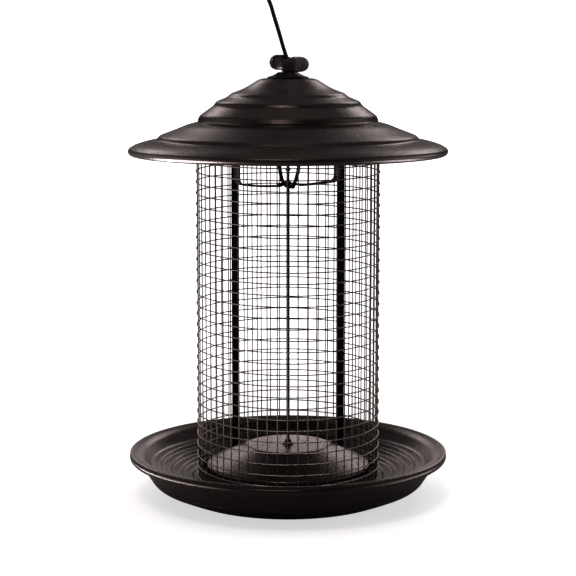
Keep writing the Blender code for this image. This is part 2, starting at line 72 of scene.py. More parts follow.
ROD_RADIUS = node_box("tie_rod")[1].x
ROD_LOW_Z = node_box("tie_rod")[0].z
ROD_HIGH_Z = node_box("tie_rod")[1].z
DEFLECTOR_TOP_Z = node_box("seed_deflector")[1].z
DEFLECTOR_RADIUS = node_box("seed_deflector")[1].x
DISH_FLOOR_Z = 0.0147
DISH_SLOPE = 0.36  # of the ringed part
DISH_RIDGES = (0.0765, 0.0850, 0.0935, 0.1020)  # radii of the pressed rings
ROLL_CENTRE = (0.1258, 0.0343)  # (r, z) of the roll round the pan's rim
ROLL_RADIUS = 0.0030

CAGE_RADIUS = 0.0741  # outside the rings
WIRE = 0.00100  # diameter of the mesh's wire
WIRE_PITCH = math.radians(6.28)
WIRE_PHASE = math.radians(0.2)  # of the middle front wire, from the front
BACK_WIRE_PHASE = math.radians(0.65)  # of the middle back wire, from the back
RING_PITCH = 0.00885
TOP_RING_Z = 0.29865  # at the front
RINGS = 33
RING_STEPS = 216
RING_TILT = 0.0017  # the rings stand higher at the back, and a little at the left
RING_LEAN = 0.0006

BAND_RADIUS = 0.0709
UPRIGHT_ANGLE = math.radians(39.7)  # of the flat uprights, from the back
UPRIGHT_RADIUS = 0.0688
UPRIGHT_WIDTH = 0.0076
UPRIGHT_THICKNESS = 0.0012

CROSSBAR_TURN = math.radians(27)
CROSSBAR_WIDTH = 0.0100
CROSSBAR_THICKNESS = 0.0012
CROSSBAR_Z = 0.2531
CROSSBAR_EAR = 0.0450
CROSSBAR_REACH = 0.0744
CROSSBAR_SADDLE = 0.0016

STEM_RADIUS = 0.0032
STEM_BORE = 0.0019
ROOF_TOP_Z = 0.3386
HUB_TOP_Z = node_box("clamp_cone")[1].z
WING_TOP_Z = 0.3564

ROPE_RADIUS = 0.00160
STRANDS = 6
ROPE_LAY = 0.0165  # one turn of the strands
STRAND_SPACING = 0.0034

# The ropes' routes, as in the CAD source.
ROPE_LEAN = Vector((-0.306, 0.0, 0.952))
ROPE_ROUTE = (
    (0.0000, 0.3362), (0.0000, 0.3400), (0.0000, 0.3440), (0.0000, 0.3480),
    (-0.0003, 0.3515), (-0.0012, 0.3550), (-0.0025, 0.3590), (-0.0042, 0.3645),
    (-0.0062, 0.3715), (-0.0086, 0.3795), (-0.0114, 0.3885), (-0.0142, 0.3975),
)
FERRULE_START = Vector((-0.0186, 0.0, 0.4112))
FERRULE_LENGTH = 0.0100
LOOP_ROUTE = (
    (0.0000, -0.0017), (0.0050, -0.0017), (0.0105, -0.0018), (0.0160, -0.0042),
    (0.0215, -0.0076), (0.0275, -0.0096), (0.0335, -0.0086), (0.0378, -0.0050),
    (0.0394, 0.0000), (0.0378, 0.0050), (0.0335, 0.0086), (0.0275, 0.0096),
    (0.0215, 0.0076), (0.0160, 0.0042), (0.0105, 0.0018), (0.0050, 0.0017),
    (-0.0016, 0.0017),
)
EYE_FERRULE_Z = (0.3060, 0.3160)
EYE_ROUTE = (
    (0.0000, -0.0017, 0.3057), (0.0000, -0.0026, 0.3020), (0.0000, -0.0075, 0.2945),
    (0.0000, -0.0140, 0.2855), (0.0000, -0.0182, 0.2760), (0.0000, -0.0180, 0.2675),
    (0.0000, -0.0142, 0.2600), (0.0003, -0.0099, 0.2550), (0.0014, -0.0064, 0.2527),
    (0.0030, -0.0024, 0.2522), (0.0034, 0.0000, 0.2521), (0.0030, 0.0024, 0.2522),
    (0.0014, 0.0062, 0.2527), (0.0003, 0.0090, 0.2550), (0.0000, 0.0122, 0.2600),
    (0.0000, 0.0150, 0.2675), (0.0000, 0.0154, 0.2760), (0.0000, 0.0125, 0.2855),
    (0.0000, 0.0072, 0.2945), (0.0000, 0.0026, 0.3020), (0.0000, 0.0017, 0.3057),
)

CAMERA_PLACE = (0.0, -1.4254, 0.3755)
CAMERA_TURN = math.radians(90 - 8.187)  # about X: a little down from level
FOCAL_LENGTH = 111.54  # mm, on a sensor of 36 mm

# The studio: soft patches of a dome, as (direction, sharpness, strength).
DOME_AMBIENT = 0.010
DOME_TINT = (1.0, 0.90, 0.89)
DOME = (
    ((-1.0, 0.05, 0.10), 9, 1.30),  # left
    ((-0.86, 0.51, 0.02), 60, 0.8),
    ((1.0, 0.05, 0.10), 9, 1.60),  # right
    ((0.90, 0.43, 0.02), 110, 4.5),
    ((-0.34, 0.81, 0.47), 130, 4.1),  # behind, high on both sides
    ((0.34, 0.81, 0.47), 130, 4.8),
    ((0.0, 1.0, 0.14), 30, 0.20),  # behind, low
    ((0.0, 0.2, 1.0), 7, 0.36),  # overhead
    ((-0.13, -0.50, 0.86), 200, 14.0),  # a small key over the front
)
# Softboxes, as (name, place, turn about X, size, power, colour, the pieces it lights).
UP, DOWN, FORWARD = math.pi, 0.0, -math.pi / 2
PLAIN, WARM_LIGHT = (1.0, 1.0, 1.0), (1.0, 0.88, 0.86)
SOFTBOXES = (
    ("paper", (0.0, 0.0, 1.5), DOWN, (2.4, 2.4), 10.0, PLAIN, ("floor",)),
    ("low_left", (-0.60, -0.10, 0.004), UP, (0.60, 0.50), 26.0, PLAIN, ("roof_shell", "base_pan_shell")),
    ("low_right", (0.62, -0.05, 0.004), UP, (0.50, 0.40), 6.0, PLAIN, ("roof_shell", "base_pan_shell")),
    ("mesh_side", (-0.55, -0.30, 0.004), UP, (0.60, 0.50), 3.5, PLAIN, ("welded_mesh",)),
    ("mesh_top", (0.0, -0.30, 1.3), DOWN, (1.6, 0.5), 22.0, PLAIN, ("welded_mesh",)),
    ("nut", (-0.15, -0.60, 1.0), DOWN, (0.5, 0.3), 12.5, PLAIN, ("wing_nut_pressed",)),
    ("back", (0.0, 1.2, 0.22), FORWARD, (1.8, 0.44), 2.7, WARM_LIGHT, ("welded_mesh", "deflector_shell")),
    ("back_of_dish", (0.0, 1.2, 0.22), FORWARD, (1.8, 0.44), 1.2, WARM_LIGHT, ("seed_dish_shell",)),
)
EXPOSURE = 0.22
CONTRAST = 0.86
FLOOR_RADIUS, FLOOR_Z = 9.0, -0.0002
FLOOR_ALBEDO = 0.80  # as the camera sees the paper; the object sees it dimmer
FLOOR_ALBEDO_TO_OBJECT = 0.30
FLOOR_GLOW_WITH_PAINTED_SHADE = (0.55, 1.10)  # near the object, where the weaker glow is painted shade round its base, and far from it
GLOW_RADII = (0.24, 0.70)

# ---------------------------------------------------------------- materials

WARM = (1.0, 0.82, 0.80, 1.0)  # the black finishes reflect a little warmly
NUT_PAINTED_SHADE_RADII = (0.0042, 0.0066)  # how far from the axis the painted shade in the nut's middle fades to the grey of its wings


class Nodes:
    """A short way to write a material's node tree."""

    def __init__(self, name):
        self.material = bpy.data.materials.new(name)
        self.material.use_nodes = True
        self.tree = self.material.node_tree
        self.shader = self.tree.nodes["Principled BSDF"]
        self.place = self.add("ShaderNodeTexCoord").outputs["Object"]

    def add(self, kind, **settings):
        node = self.tree.nodes.new(kind)
        for key, value in settings.items():
            setattr(node, key, value)
        return node

    def link(self, source, target):
        self.tree.links.new(source, target)

    def noise(self, scale, detail=2.0, roughness=0.5):
        node = self.add("ShaderNodeTexNoise")
        node.inputs["Scale"].default_value = scale
        node.inputs["Detail"].default_value = detail
        node.inputs["Roughness"].default_value = roughness
        self.link(self.place, node.inputs["Vector"])
        return node.outputs["Fac"]

    def ramp(self, source, stops):
        """A colour ramp, from (position, value or colour) pairs."""
        node = self.add("ShaderNodeValToRGB")
        while len(node.color_ramp.elements) < len(stops):
            node.color_ramp.elements.new(0.5)
        for element, (position, color) in zip(node.color_ramp.elements, stops):
            element.position = position
            rgb = color if isinstance(color, tuple) else (color,) * 3
            element.color = (*rgb, 1.0)
        self.link(source, node.inputs["Fac"])
        return node.outputs["Color"]

    def bump(self, height, strength, distance, before=None):
        node = self.add("ShaderNodeBump")
        node.inputs["Strength"].default_value = strength
        node.inputs["Distance"].default_value = distance
        self.link(height, node.inputs["Height"])
        if before is not None:
            self.link(before, node.inputs["Normal"])
        return node.outputs["Normal"]

    def finish(self, color, roughness, normal=None, **plain):
        """Link the colour, roughness and normal, and set every other socket by its name."""
        self.link(color, self.shader.inputs["Base Color"])
        self.link(roughness, self.shader.inputs["Roughness"])
        if normal is not None:
            self.link(normal, self.shader.inputs["Normal"])
        for key, value in plain.items():
            self.shader.inputs[key.replace("_", " ")].default_value = value
        return self.material


def powder_coat(name, tint=1.0, rough=0.21, grain=1.5, ior=1.5, shine=0.62):
    """Satin black-brown powder coat: a fine orange peel, soft blotches and a few dull specks."""
    n = Nodes(name)
    blotch = n.noise(38.0, 3.0, 0.6)
    speck = n.noise(2300.0, 1.0)
    dark = (0.0085 * tint, 0.0058 * tint, 0.0054 * tint)
    light = (0.0150 * tint, 0.0105 * tint, 0.0098 * tint)
    mix = n.add("ShaderNodeMath", operation="MULTIPLY_ADD")
    n.link(speck, mix.inputs[0])
    mix.inputs[1].default_value = 0.6
    n.link(blotch, mix.inputs[2])
    color = n.ramp(mix.outputs[0], [(0.45, dark), (1.05, light)])
    roughness = n.ramp(mix.outputs[0], [(0.4, rough - 0.05), (1.1, rough + 0.07)])
    peel = n.bump(n.noise(1100.0, 1.5), 0.20 * grain, 0.00012)
    normal = n.bump(n.noise(3400.0, 1.0), 0.50 * grain, 0.00007, peel)
    return n.finish(color, roughness, normal, IOR=ior, Specular_IOR_Level=shine, Specular_Tint=WARM)


def wire_coat():
    """The mesh's thinner coat, a little glossier, with thick and thin places along each wire."""
    n = Nodes("wire_coat")
    drift = n.noise(260.0, 3.0, 0.6)
    color = n.ramp(drift, [(0.3, (0.034, 0.0265, 0.025)), (0.75, (0.060, 0.049, 0.0465))])
    roughness = n.ramp(drift, [(0.3, 0.20), (0.75, 0.34)])
    normal = n.bump(n.noise(1500.0, 2.0), 0.22, 0.00008)
    return n.finish(color, roughness, normal, IOR=1.8, Specular_IOR_Level=0.8, Specular_Tint=WARM)


def black_plating():
    """Black plated steel with a thin worn sheen."""
    n = Nodes("black_plating")
    wear = n.noise(700.0, 3.0, 0.65)
    color = n.ramp(wear, [(0.35, 0.020), (0.8, (0.050, 0.047, 0.045))])
    roughness = n.ramp(wear, [(0.3, 0.24), (0.8, 0.42)])
    normal = n.bump(n.noise(2400.0, 2.0), 0.2, 0.00004)
    return n.finish(color, roughness, normal, Metallic=0.85)


def nut_coat():
    """The wing nut's coat: grey on its wings, lifted as a painted sheen, and black in its middle, a painted
    shade between the wings.
    """
    n = Nodes("nut_coat")
    patch = n.noise(420.0, 3.0, 0.6)
    # The wings' grey, blotched at random, is lifted above the coat's own colour to paint in their sheen.
    painted_sheen_grey = n.ramp(patch, [(0.35, (0.018, 0.0150, 0.0147)), (0.75, (0.048, 0.0415, 0.0405))])
    # Painted shade: the colour fades to black towards the axis, in the middle between the wings.
    across = n.add("ShaderNodeVectorMath", operation="MULTIPLY")
    n.link(n.place, across.inputs[0])
    across.inputs[1].default_value = (1.0, 0.0, 0.0)
    reach = n.add("ShaderNodeVectorMath", operation="LENGTH")
    n.link(across.outputs["Vector"], reach.inputs[0])
    share = n.add("ShaderNodeMapRange", interpolation_type="SMOOTHSTEP")
    n.link(reach.outputs["Value"], share.inputs["Value"])
    share.inputs["From Min"].default_value, share.inputs["From Max"].default_value = NUT_PAINTED_SHADE_RADII
    color = n.add("ShaderNodeMix", data_type="RGBA")
    n.link(share.outputs["Result"], color.inputs["Factor"])
    color.inputs["A"].default_value = (0.003, 0.0026, 0.0026, 1)
    n.link(painted_sheen_grey, color.inputs["B"])
    roughness = n.ramp(patch, [(0.3, 0.30), (0.75, 0.46)])
    normal = n.bump(n.noise(1300.0, 2.0), 0.30, 0.00010)
    color = color.outputs["Result"]
    return n.finish(color, roughness, normal, Specular_IOR_Level=0.40, Specular_Tint=WARM)


def rope_finish():
    """Black coated steel strands."""
    n = Nodes("rope_strands")
    drift = n.noise(1400.0, 3.0, 0.6)
    color = n.ramp(drift, [(0.3, (0.003, 0.003, 0.003)), (0.8, (0.010, 0.009, 0.009))])
    roughness = n.ramp(drift, [(0.3, 0.36), (0.8, 0.55)])
    normal = n.bump(n.noise(5200.0, 2.0), 0.3, 0.00004)
    return n.finish(color, roughness, normal, Specular_IOR_Level=0.3, Specular_Tint=WARM)


ROOF_COAT = powder_coat("roof_coat")
PAN_COAT = powder_coat("pan_coat")
DEFLECTOR_COAT = powder_coat("deflector_coat", ior=1.6)
STRAP_COAT = powder_coat("strap_coat", rough=0.24)
# The uprights take a much darker copy of the coat: painted shade, as they stand in the shade inside the
# cage.
UPRIGHT_COAT_PAINTED_SHADE = powder_coat("upright_coat", tint=0.2, rough=0.45, shine=0.10)
# The rod takes a darker copy too: painted shade inside the cage.
ROD_COAT_PAINTED_SHADE = powder_coat("rod_coat", tint=0.3, rough=0.35, grain=0.6, shine=0.25)
# The cone takes a darker copy of the coat: painted shade under the wing nut.
CONE_COAT_PAINTED_SHADE = powder_coat("cone_coat", tint=0.3, rough=0.40, shine=0.20)
WIRE_COAT = wire_coat()
PLATING = black_plating()
NUT_COAT_PAINTED_SHADE_AND_SHEEN = nut_coat()
ROPE_FINISH = rope_finish()

# ---------------------------------------------------------------- building blocks


def add_piece(name, bm, material, body, replaces=(), sharp=40):
    """Put the bmesh in the scene as a smooth-shaded piece that rides on a body."""
    bmesh.ops.remove_doubles(bm, verts=bm.verts, dist=1e-7)
    bmesh.ops.recalc_face_normals(bm, faces=bm.faces)
    mesh = bpy.data.meshes.new(name)
    bm.to_mesh(mesh)
    bm.free()
    mesh.shade_smooth()
    mesh.set_sharp_from_angle(angle=math.radians(sharp))
    mesh.materials.append(material)
    piece = bpy.data.objects.new(name, mesh)
    bpy.context.scene.collection.objects.link(piece)
    if body is not None:
        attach(piece, body)
    if replaces:
        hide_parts(*replaces)
    return piece


def round_edges(piece, width):
    """Round the piece's hard edges."""
    rounding = piece.modifiers.new("edges", "BEVEL")
    rounding.width = width
    rounding.segments = 3
    rounding.limit_method = "ANGLE"
    rounding.angle_limit = math.radians(30)
    rounding.harden_normals = False


def rounded(corners, steps=6):
    """The points of an open line. A corner given as (r, z, fillet) is turned on a curve."""
    points = [Vector(corners[0][:2])]
    for before, corner, after in zip(corners, corners[1:], corners[2:]):
        middle = Vector(corner[:2])
        if len(corner) == 2:
            points.append(middle)
            continue
        back = (Vector(before[:2]) - middle).normalized() * corner[2]
        ahead = (Vector(after[:2]) - middle).normalized() * corner[2]
        for k in range(steps + 1):
            t = k / steps
            points.append(middle + back * (1 - t) ** 2 + ahead * t**2)
    points.append(Vector(corners[-1][:2]))
    return points


def smooth_line(route, spacing, fine=16):
    """Evenly spaced points along a smooth curve through the route's points."""
    route = [Vector(p) for p in route]
    ends = [2 * route[0] - route[1], *route, 2 * route[-1] - route[-2]]
    dense = []
    for a, b, c, d in zip(ends, ends[1:], ends[2:], ends[3:]):
        for k in range(fine):
            t = k / fine
            dense.append(0.5 * (
                2 * b + (c - a) * t + (2 * a - 5 * b + 4 * c - d) * t**2
                + (3 * b - a - 3 * c + d) * t**3
            ))
    dense.append(route[-1])
    reach = [0.0]
    for p, q in zip(dense, dense[1:]):
        reach.append(reach[-1] + (q - p).length)
    count = max(2, round(reach[-1] / spacing))
    points, at = [], 0
    for k in range(count + 1):
        wanted = reach[-1] * k / count
        while at < len(dense) - 2 and reach[at + 1] < wanted:
            at += 1
        share = (wanted - reach[at]) / (reach[at + 1] - reach[at])
        points.append(dense[at].lerp(dense[at + 1], min(share, 1.0)))
    return points


def side_of(points, distance):
    """The line that runs beside points, distance to the left of their direction."""
    beside = []
    for k, point in enumerate(points):
        before = points[max(k - 1, 0)]
        after = points[min(k + 1, len(points) - 1)]
        incoming = (point - before).normalized() if k else (after - point).normalized()
        outgoing = (after - point).normalized() if k < len(points) - 1 else incoming
        along = (incoming + outgoing).normalized()
        stretch = 1 / max(along.dot(outgoing), 0.6)
        beside.append(point + Vector((-along.y, along.x)) * distance * stretch)
    return beside


def arc(centre, radius, start, end, steps):
    """Points on an arc, its angles in degrees from +r towards +z."""
    turns = [math.radians(start + (end - start) * k / steps) for k in range(steps + 1)]
    r, z = centre
    return [Vector((r + radius * math.cos(a), z + radius * math.sin(a))) for a in turns]


def sheet_outline(line, lean=0.5):
    """The closed outline of a sheet along a line, by how much of it lies on the line's left."""
    left = side_of(line, SHEET * lean)
    right = side_of(line, SHEET * (lean - 1))
    edge = (left[-1] + right[-1]) / 2 + (line[-1] - line[-2]).normalized() * SHEET * 0.4
    return left + [edge] + right[::-1]


def skin(bm, rings, capped=False):
    """Join each ring of vertices to the next, and close both ends if asked."""
    for here, after in zip(rings, rings[1:]):
        for k in range(len(here)):
            n = (k + 1) % len(here)
            bm.faces.new((here[k], here[n], after[n], after[k]))
    if capped:
        bm.faces.new(rings[0][::-1])
        bm.faces.new(rings[-1])


def circle(bm, radius, z, around):
    """A level ring of vertices about the vertical axis."""
    turns = [math.tau * k / around for k in range(around)]
    return [bm.verts.new((radius * math.cos(a), radius * math.sin(a), z)) for a in turns]


def lathe(bm, outline, around):
    """Turn the closed outline of (r, z) round the vertical axis."""
    sections = []
    for k in range(around):
        c, s = math.cos(math.tau * k / around), math.sin(math.tau * k / around)
        sections.append([bm.verts.new((p[0] * c, p[0] * s, p[1])) for p in outline])
    for here, after in zip(sections, sections[1:] + sections[:1]):
        for i in range(len(outline)):
            n = (i + 1) % len(outline)
            bm.faces.new((here[i], after[i], after[n], here[n]))


def turned(name, outline, material, body, replaces=(), around=AROUND):
    """A piece turned from the closed outline of (r, z)."""
    bm = bmesh.new()
    lathe(bm, outline, around)
    return add_piece(name, bm, material, body, replaces)


def frames_along(points):
    """(direction, side, other side) at each point of a line, turning as little as possible."""
    frames = []
    side = None
    for k, point in enumerate(points):
        before = points[max(k - 1, 0)]
        after = points[min(k + 1, len(points) - 1)]
        along = (after - before).normalized()
        if side is None:
            side = along.cross(Vector((0.3, 1.0, 0.1))).normalized()
        side = (side - along * side.dot(along)).normalized()
        frames.append((along, side, along.cross(side)))
    return frames


def tube(bm, points, radius, closed=False):
    """A round tube along the points, with flat ends unless it closes on itself."""
    frames = ring_frames(points) if closed else frames_along(points)
    turns = [math.tau * i / TUBE_SIDES for i in range(TUBE_SIDES)]
    rings = [
        [bm.verts.new(point + (u * math.cos(a) + v * math.sin(a)) * radius) for a in turns]
        for point, (_, u, v) in zip(points, frames)
    ]
    if closed:
        skin(bm, rings + rings[:1])
    else:
        skin(bm, rings, capped=True)


def ring_frames(points):
    """Frames for a level ring about the vertical axis."""
    frames = []
    for point in points:
        outwards = Vector((point.x, point.y, 0)).normalized()
        frames.append((Vector((-outwards.y, outwards.x, 0)), outwards, Vector((0, 0, 1))))
    return frames


def twisted_rope(bm, points):
    """A wire rope: round strands laid in a helix on a core."""
    frames = frames_along(points)
    strand = ROPE_RADIUS * 0.36
    centre = ROPE_RADIUS - strand
    reach = [0.0]
    for p, q in zip(points, points[1:]):
        reach.append(reach[-1] + (q - p).length)
    tube(bm, points, centre * 0.75)
    for number in range(STRANDS):
        line = []
        for point, (_, u, v), far in zip(points, frames, reach):
            a = math.tau * (number / STRANDS + far / ROPE_LAY)
            line.append(point + (u * math.cos(a) + v * math.sin(a)) * centre)
        tube(bm, line, strand)


def across_bar(along, across, up):
    """A point given along and across the turned crossbar."""
    c, s = math.cos(CROSSBAR_TURN), math.sin(CROSSBAR_TURN)
    return Vector((along * c - across * s, along * s + across * c, up))


def radial(angle, radius, z):
    """A point at an angle from +Y, turning towards +X."""
    return Vector((radius * math.sin(angle), radius * math.cos(angle), z))


# ---------------------------------------------------------------- camera and stage


def make_camera():
    """The photo's view, a little down on the feeder, with everything in focus."""
    data = bpy.data.cameras.new("camera")
    data.sensor_width = 36.0
    data.lens = FOCAL_LENGTH
    data.clip_end = 50
    camera = bpy.data.objects.new("camera", data)
    camera.location = CAMERA_PLACE
    camera.rotation_euler = (CAMERA_TURN, 0, 0)
    bpy.context.scene.collection.objects.link(camera)
    bpy.context.scene.camera = camera


def make_softboxes():
    """Each softbox is unseen by the camera and lights only the pieces named with it."""
    for name, place, turn, size, power, tint, pieces in SOFTBOXES:
        data = bpy.data.lights.new(name + "_softbox", "AREA")
        data.shape = "RECTANGLE"
        data.size, data.size_y = size
        data.energy = power
        data.color = tint
        light = bpy.data.objects.new(data.name, data)
        light.location = place
        light.rotation_euler.x = turn
        light.visible_camera = False
        bpy.context.scene.collection.objects.link(light)
        lit = bpy.data.collections.new(data.name)
        for piece in pieces:
            lit.objects.link(bpy.data.objects[piece])
        light.light_linking.receiver_collection = lit


def make_floor():
    """White paper that glows more weakly near the object, painted shade round its base, and whitens away
    from it, so that only the soft shadow shows.
    """
    bpy.ops.mesh.primitive_circle_add(
        vertices=96, radius=FLOOR_RADIUS, fill_type="NGON", location=(0, 0, FLOOR_Z)
    )
    floor = bpy.context.object
    floor.name = "floor"
    n = Nodes("floor_paper")
    to_camera = n.add("ShaderNodeLightPath").outputs["Is Camera Ray"]
    shade = n.noise(60.0, 3.0)
    paper = n.ramp(shade, [(0.3, FLOOR_ALBEDO - 0.005), (0.7, FLOOR_ALBEDO + 0.005)])
    color = n.add("ShaderNodeMix", data_type="RGBA")
    n.link(to_camera, color.inputs["Factor"])
    color.inputs["A"].default_value = (FLOOR_ALBEDO_TO_OBJECT,) * 3 + (1,)
    n.link(paper, color.inputs["B"])
    roughness = n.ramp(shade, [(0.3, 0.85), (0.7, 0.95)])
    material = n.finish(color.outputs["Result"], roughness, Specular_IOR_Level=0.05)
    distance = n.add("ShaderNodeVectorMath", operation="LENGTH")
    n.link(n.place, distance.inputs[0])
    # The weaker glow near the object paints shade round its base.
    glow_with_painted_shade = n.add("ShaderNodeMapRange", interpolation_type="SMOOTHSTEP")
    n.link(distance.outputs["Value"], glow_with_painted_shade.inputs["Value"])
    glow_sockets = ("From Min", "From Max", "To Min", "To Max")
    for socket, value in zip(glow_sockets, (*GLOW_RADII, *FLOOR_GLOW_WITH_PAINTED_SHADE)):
        glow_with_painted_shade.inputs[socket].default_value = value
    seen = n.add("ShaderNodeMath", operation="MULTIPLY")
    n.link(to_camera, seen.inputs[0])
    n.link(glow_with_painted_shade.outputs["Result"], seen.inputs[1])
    n.link(seen.outputs[0], n.shader.inputs["Emission Strength"])
    n.shader.inputs["Emission Color"].default_value = (1, 1, 1, 1)
    floor.data.materials.append(material)


def make_world(lobes):
    """A studio dome: soft patches of light round the object, and plain white behind it."""
    world = bpy.data.worlds.new("studio")
    bpy.context.scene.world = world
    world.use_nodes = True
    tree = world.node_tree
    tree.nodes.clear()
    direction = tree.nodes.new("ShaderNodeTexCoord").outputs["Generated"]

    def math_node(operation, first, second):
        node = tree.nodes.new("ShaderNodeMath")
        node.operation = operation
        for socket, value in zip(node.inputs, (first, second)):
            if isinstance(value, float):
                socket.default_value = value
            else:
                tree.links.new(value, socket)
        return node.outputs[0]

    total = DOME_AMBIENT
    for aim, sharpness, strength in lobes:
        facing = tree.nodes.new("ShaderNodeVectorMath")
        facing.operation = "DOT_PRODUCT"
        tree.links.new(direction, facing.inputs[0])
        facing.inputs[1].default_value = Vector(aim).normalized()
        away = math_node("SUBTRACT", facing.outputs["Value"], 1.0)
        patch = math_node("EXPONENT", math_node("MULTIPLY", away, float(sharpness)), 0.0)
        total = math_node("ADD", math_node("MULTIPLY", patch, float(strength)), total)
    lit = tree.nodes.new("ShaderNodeBackground")
    lit.inputs["Color"].default_value = (*DOME_TINT, 1)
    tree.links.new(total, lit.inputs["Strength"])
    seen = tree.nodes.new("ShaderNodeBackground")
    seen.inputs["Color"].default_value = (1, 1, 1, 1)
    mix = tree.nodes.new("ShaderNodeMixShader")
    tree.links.new(tree.nodes.new("ShaderNodeLightPath").outputs["Is Camera Ray"], mix.inputs["Fac"])
    tree.links.new(lit.outputs[0], mix.inputs[1])
    tree.links.new(seen.outputs[0], mix.inputs[2])
    out = tree.nodes.new("ShaderNodeOutputWorld")
    tree.links.new(mix.outputs[0], out.inputs["Surface"])


def make_studio():
    """The light, the floor and the view's brightness. The softboxes need their pieces to exist."""
    make_world(DOME)
    make_floor()
    make_softboxes()
    bpy.context.scene.view_settings.view_transform = "Standard"
    bpy.context.scene.view_settings.exposure = EXPOSURE
    bpy.context.scene.view_settings.gamma = CONTRAST


# ---------------------------------------------------------------- pressed sheets


def make_roof():
    """Flat crown, three rounded steps, a raised collar and a brim that rolls under at its rim."""
    steps = rounded((
        (0.0040, ROOF_TOP_Z), (0.0218, ROOF_TOP_Z, 0.004), (0.0345, 0.3307, 0.005),
        (0.0452, 0.3267, 0.0014), (0.0480, 0.3242, 0.0016), (0.0574, 0.3203, 0.0016),
        (0.0592, 0.3172, 0.0018), (0.0702, 0.3094, 0.0022), (0.0718, 0.3062, 0.0016),
        (0.0718, 0.3042, 0.0010), (0.0800, 0.3023, 0.004), (0.0900, 0.2981, 0.004),
        (0.1026, 0.2934, 0.002), (0.1046, 0.2905, 0.0016), (0.1170, 0.2880, 0.006),
        (0.1240, 0.2853),
    ))
    curl = arc((0.12425, 0.2812), 0.0032, 72, -215, 30)
    outline = sheet_outline(steps[:-1] + curl, lean=0.0)
    turned("roof_shell", outline, ROOF_COAT, ROOF_BODY, ["roof"])


def make_dish():
    """The ringed seed dish, whose wall sweeps up into a wide lip laid over the pan's roll."""
    corners = [(0.0022, DISH_FLOOR_Z), (0.0600, DISH_FLOOR_Z)]
    for ridge in DISH_RIDGES:
        low = DISH_FLOOR_Z + (ridge - DISH_RIDGES[0]) * DISH_SLOPE
        corners += [(ridge, low, 0.0009), (ridge + 0.0028, low + 0.0029, 0.0009)]
    line = rounded((
        *corners, (0.1106, 0.0276, 0.002), (0.1178, 0.0354, 0.002), (0.1225, 0.0378, 0.002),
        (0.1250, 0.0382),
    ))
    lip = arc(ROLL_CENTRE, ROLL_RADIUS + SHEET + 0.0001, 98, 48, 12)
    outline = sheet_outline(line[:-1] + lip, lean=0.0)
    turned("seed_dish_shell", outline, PAN_COAT, FEEDER, ["seed_dish"])


def make_pan():
    """The base pan: a shallow bowl whose rim is rolled into a thick round edge."""
    line = rounded((
        (0.0022, 0.0089), (0.0142, 0.0089, 0.002), (0.0192, 0.0006, 0.002),
        (0.0810, 0.0006, 0.006), (0.0972, 0.0071, 0.006), (0.1083, 0.0121, 0.004),
        (0.1118, 0.0173, 0.004), (0.1158, 0.0236, 0.003), (0.1188, 0.0302, 0.003), (0.1222, 0.0330),
    ))
    roll = arc(ROLL_CENTRE, ROLL_RADIUS - SHEET / 2, 188, -165, 30)
    outline = sheet_outline(line[:-1] + roll)
    turned("base_pan_shell", outline, PAN_COAT, FEEDER, ["base_pan"])


def make_deflector():
    """The deflector: a flat top, a straight cone and a short skirt."""
    line = rounded((
        (0.0022, DEFLECTOR_TOP_Z), (0.0333, DEFLECTOR_TOP_Z, 0.0016),
        (0.0655, 0.0272, 0.0012), (DEFLECTOR_RADIUS, 0.0258, 0.0006), (DEFLECTOR_RADIUS, 0.0158),
    ))
    outline = sheet_outline(line, lean=0.0)
    turned("deflector_shell", outline, DEFLECTOR_COAT, FEEDER, ["seed_deflector"])


# ---------------------------------------------------------------- cage


def wobble(seed, t, size):
    """A small smooth deviation along a wire."""
    return noise.noise(Vector((seed * 7.31, t, 0.5))) * size


def upright_wire_angles():
    """Where the upright wires stand: the sheet is rolled from two halves that don't line up."""
    front = [math.pi + WIRE_PHASE + WIRE_PITCH * k for k in range(-14, 15)]
    back = [BACK_WIRE_PHASE + WIRE_PITCH * k for k in range(-14, 14)]
    return front + back


def ring_lift(angle):
    """How far a ring is above its height at the front, as the rolled sheet is a little askew."""
    return RING_TILT * (1 + math.cos(angle)) - RING_LEAN * math.sin(angle)


def make_cage():
    """The welded mesh: upright wires inside, rings outside, melted together where they cross."""
    bm = bmesh.new()
    radius = WIRE / 2
    ring_radius = CAGE_RADIUS - radius
    upright_radius = ring_radius - WIRE * 0.92
    low = TOP_RING_Z - RING_PITCH * (RINGS - 1)
    top = node_box("cage_mesh_1")[1].z - radius
    rows = 2 * (RINGS - 1)
    for k, angle in enumerate(upright_wire_angles()):
        points = []
        for j in range(rows + 1):
            z = low + (top - low) * j / rows
            turn = angle + wobble(k, z * 22, 0.0003) / upright_radius
            points.append(radial(turn, upright_radius, z))
        tube(bm, points, radius)
    for k in range(RINGS):
        z = low + RING_PITCH * k
        points = []
        for j in range(RING_STEPS):
            angle = math.tau * j / RING_STEPS
            lift = ring_lift(angle) + wobble(100 + k, math.sin(angle) * 2 + math.cos(angle) * 1.3, 0.0004)
            points.append(radial(angle, ring_radius, min(z + lift, top)))
        tube(bm, points, radius, closed=True)
    nodes = [f"cage_mesh_{k}" for k in range(1, 9)]
    add_piece("welded_mesh", bm, WIRE_COAT, FEEDER, nodes, sharp=60)


def make_bands():
    """The two thin bands inside the ends of the mesh, with folded edges."""
    for level in ("bottom", "top"):
        low, high = (corner.z for corner in node_box(level + "_band"))
        inner, outer = BAND_RADIUS - 0.0008, BAND_RADIUS
        middle = (low + high) / 2
        outline = rounded((
            (inner, middle), (inner, low + 0.0006, 0.0005), (inner + 0.0004, low, 0.0004),
            (outer, low + 0.0006, 0.0005), (outer, high - 0.0006, 0.0005),
            (inner + 0.0004, high, 0.0004), (inner, high - 0.0006, 0.0005), (inner, middle + 1e-4),
        ), steps=3)
        turned(level + "_band_strip", outline, WIRE_COAT, FEEDER, [level + "_band"])


